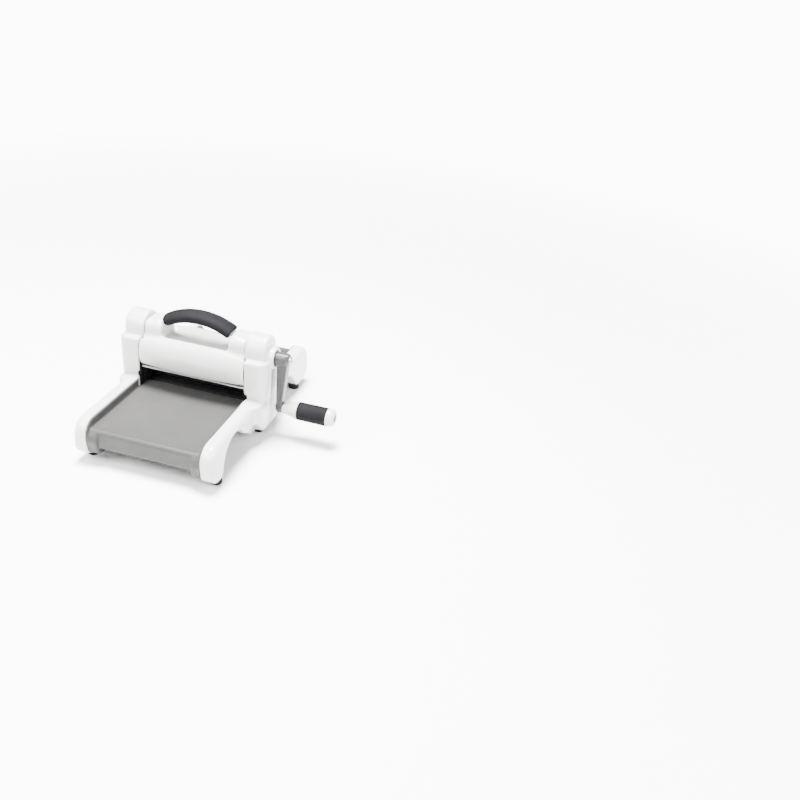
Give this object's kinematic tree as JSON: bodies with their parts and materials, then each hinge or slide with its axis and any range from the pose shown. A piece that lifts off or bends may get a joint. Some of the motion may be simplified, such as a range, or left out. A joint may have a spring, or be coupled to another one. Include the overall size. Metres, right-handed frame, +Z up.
{
  "type": "hand-cranked die cutting machine",
  "caption": "Tabletop die cutter: white side towers on arched legs, grey feed trays front and rear, geared steel rollers inside, carry handle on top and a side crank with a turning grip.",
  "frame": {"origin": "on the table, under the middle of the bounding box, crank grip included", "axes": "+X towards the crank side, +Y from the front tray towards the rear tray, +Z up"},
  "size_m": [0.3153, 0.3416, 0.1695],
  "materials": {
    "white_body": "moulded, satin gloss",
    "tray_grey": "moulded, fine satin texture",
    "grip_grey": "soft-touch matt",
    "crank_grey": "silver-grey paint, satin",
    "cap_grey": "moulded, satin",
    "frame_plate": "black coated steel plate",
    "gear_steel": "machined, lightly oiled",
    "black_plastic": "moulded, matt",
    "bronze": "sintered bronze, oiled",
    "steel": "ground and polished",
    "roller_grey": "dark coated steel",
    "foot_rubber": "moulded, matt"
  },
  "bodies": {
    "housing": {"right_side_housing": "white_body", "left_side_housing": "white_body", "handle_frame": "white_body", "front_tray": "tray_grey", "rear_tray": "tray_grey", "handle_grip": "grip_grey", "right_side_plate": "frame_plate", "front_cover": "white_body", "rear_cover": "white_body", "left_side_plate": "frame_plate", "right_inner_panel": "black_plastic", "left_inner_panel": "black_plastic", "front_foot_right": "foot_rubber", "front_foot_left": "foot_rubber", "middle_foot_right": "foot_rubber", "middle_foot_left": "foot_rubber", "rear_foot_right": "foot_rubber", "rear_foot_left": "foot_rubber", "upper_roller_bush_right": "bronze", "upper_roller_bush_left": "bronze", "lower_roller_bush_right": "bronze", "lower_roller_bush_left": "bronze", "crank_shaft_bush": "bronze", "crank_hub_bush": "black_plastic", "front_foot_screw_right": "steel", "front_foot_screw_left": "steel", "middle_foot_screw_right": "steel", "middle_foot_screw_left": "steel", "rear_foot_screw_right": "steel", "rear_foot_screw_left": "steel", "tie_rod_nut_lower_front_right": "steel", "tie_rod_nut_lower_front_left": "steel", "tie_rod_nut_lower_rear_right": "steel", "tie_rod_nut_lower_rear_left": "steel", "tie_rod_nut_upper_front_right": "steel", "tie_rod_nut_upper_front_left": "steel", "tie_rod_nut_upper_rear_right": "steel", "tie_rod_nut_upper_rear_left": "steel", "tie_rod_lower_front": "steel", "tie_rod_lower_rear": "steel", "tie_rod_upper_front": "steel", "tie_rod_upper_rear": "steel", "front_guide_bar": "white_body", "rear_guide_bar": "white_body"},
    "crank": {"crank_shaft": "steel", "crank_pinion": "gear_steel", "crank_arm": "crank_grey", "crank_screw": "steel", "grip_spindle": "steel"},
    "grip": {"grip_core": "white_body", "grip_sleeve": "grip_grey", "grip_end_cap": "white_body", "grip_plug": "cap_grey"},
    "upper_roller": {"upper_roller": "roller_grey", "roller_drive_gear": "gear_steel", "upper_sync_gear": "gear_steel"},
    "lower_roller": {"lower_roller": "roller_grey", "lower_sync_gear": "gear_steel"}
  },
  "joints": [
    {"name": "crank_spin", "type": "hinge", "parent": "housing", "child": "crank", "pos_m": [0.07125, 0, 0.123], "axis": [1, 0, 0], "continuous": true},
    {"name": "grip_spin", "type": "hinge", "parent": "crank", "child": "grip", "pos_m": [0.11925, 0, 0.047], "axis": [1, 0, 0], "continuous": true},
    {"name": "upper_roller_spin", "type": "hinge", "parent": "housing", "child": "upper_roller", "pos_m": [-0.04575, 0, 0.0855], "axis": [1, 0, 0], "continuous": true},
    {"name": "lower_roller_spin", "type": "hinge", "parent": "housing", "child": "lower_roller", "pos_m": [-0.04575, 0, 0.0375], "axis": [1, 0, 0], "continuous": true}
  ],
  "couplings": [
    {"joint": "upper_roller_spin", "follows": "crank_spin", "ratio": -0.38889},
    {"joint": "lower_roller_spin", "follows": "crank_spin", "ratio": 0.38889}
  ]
}
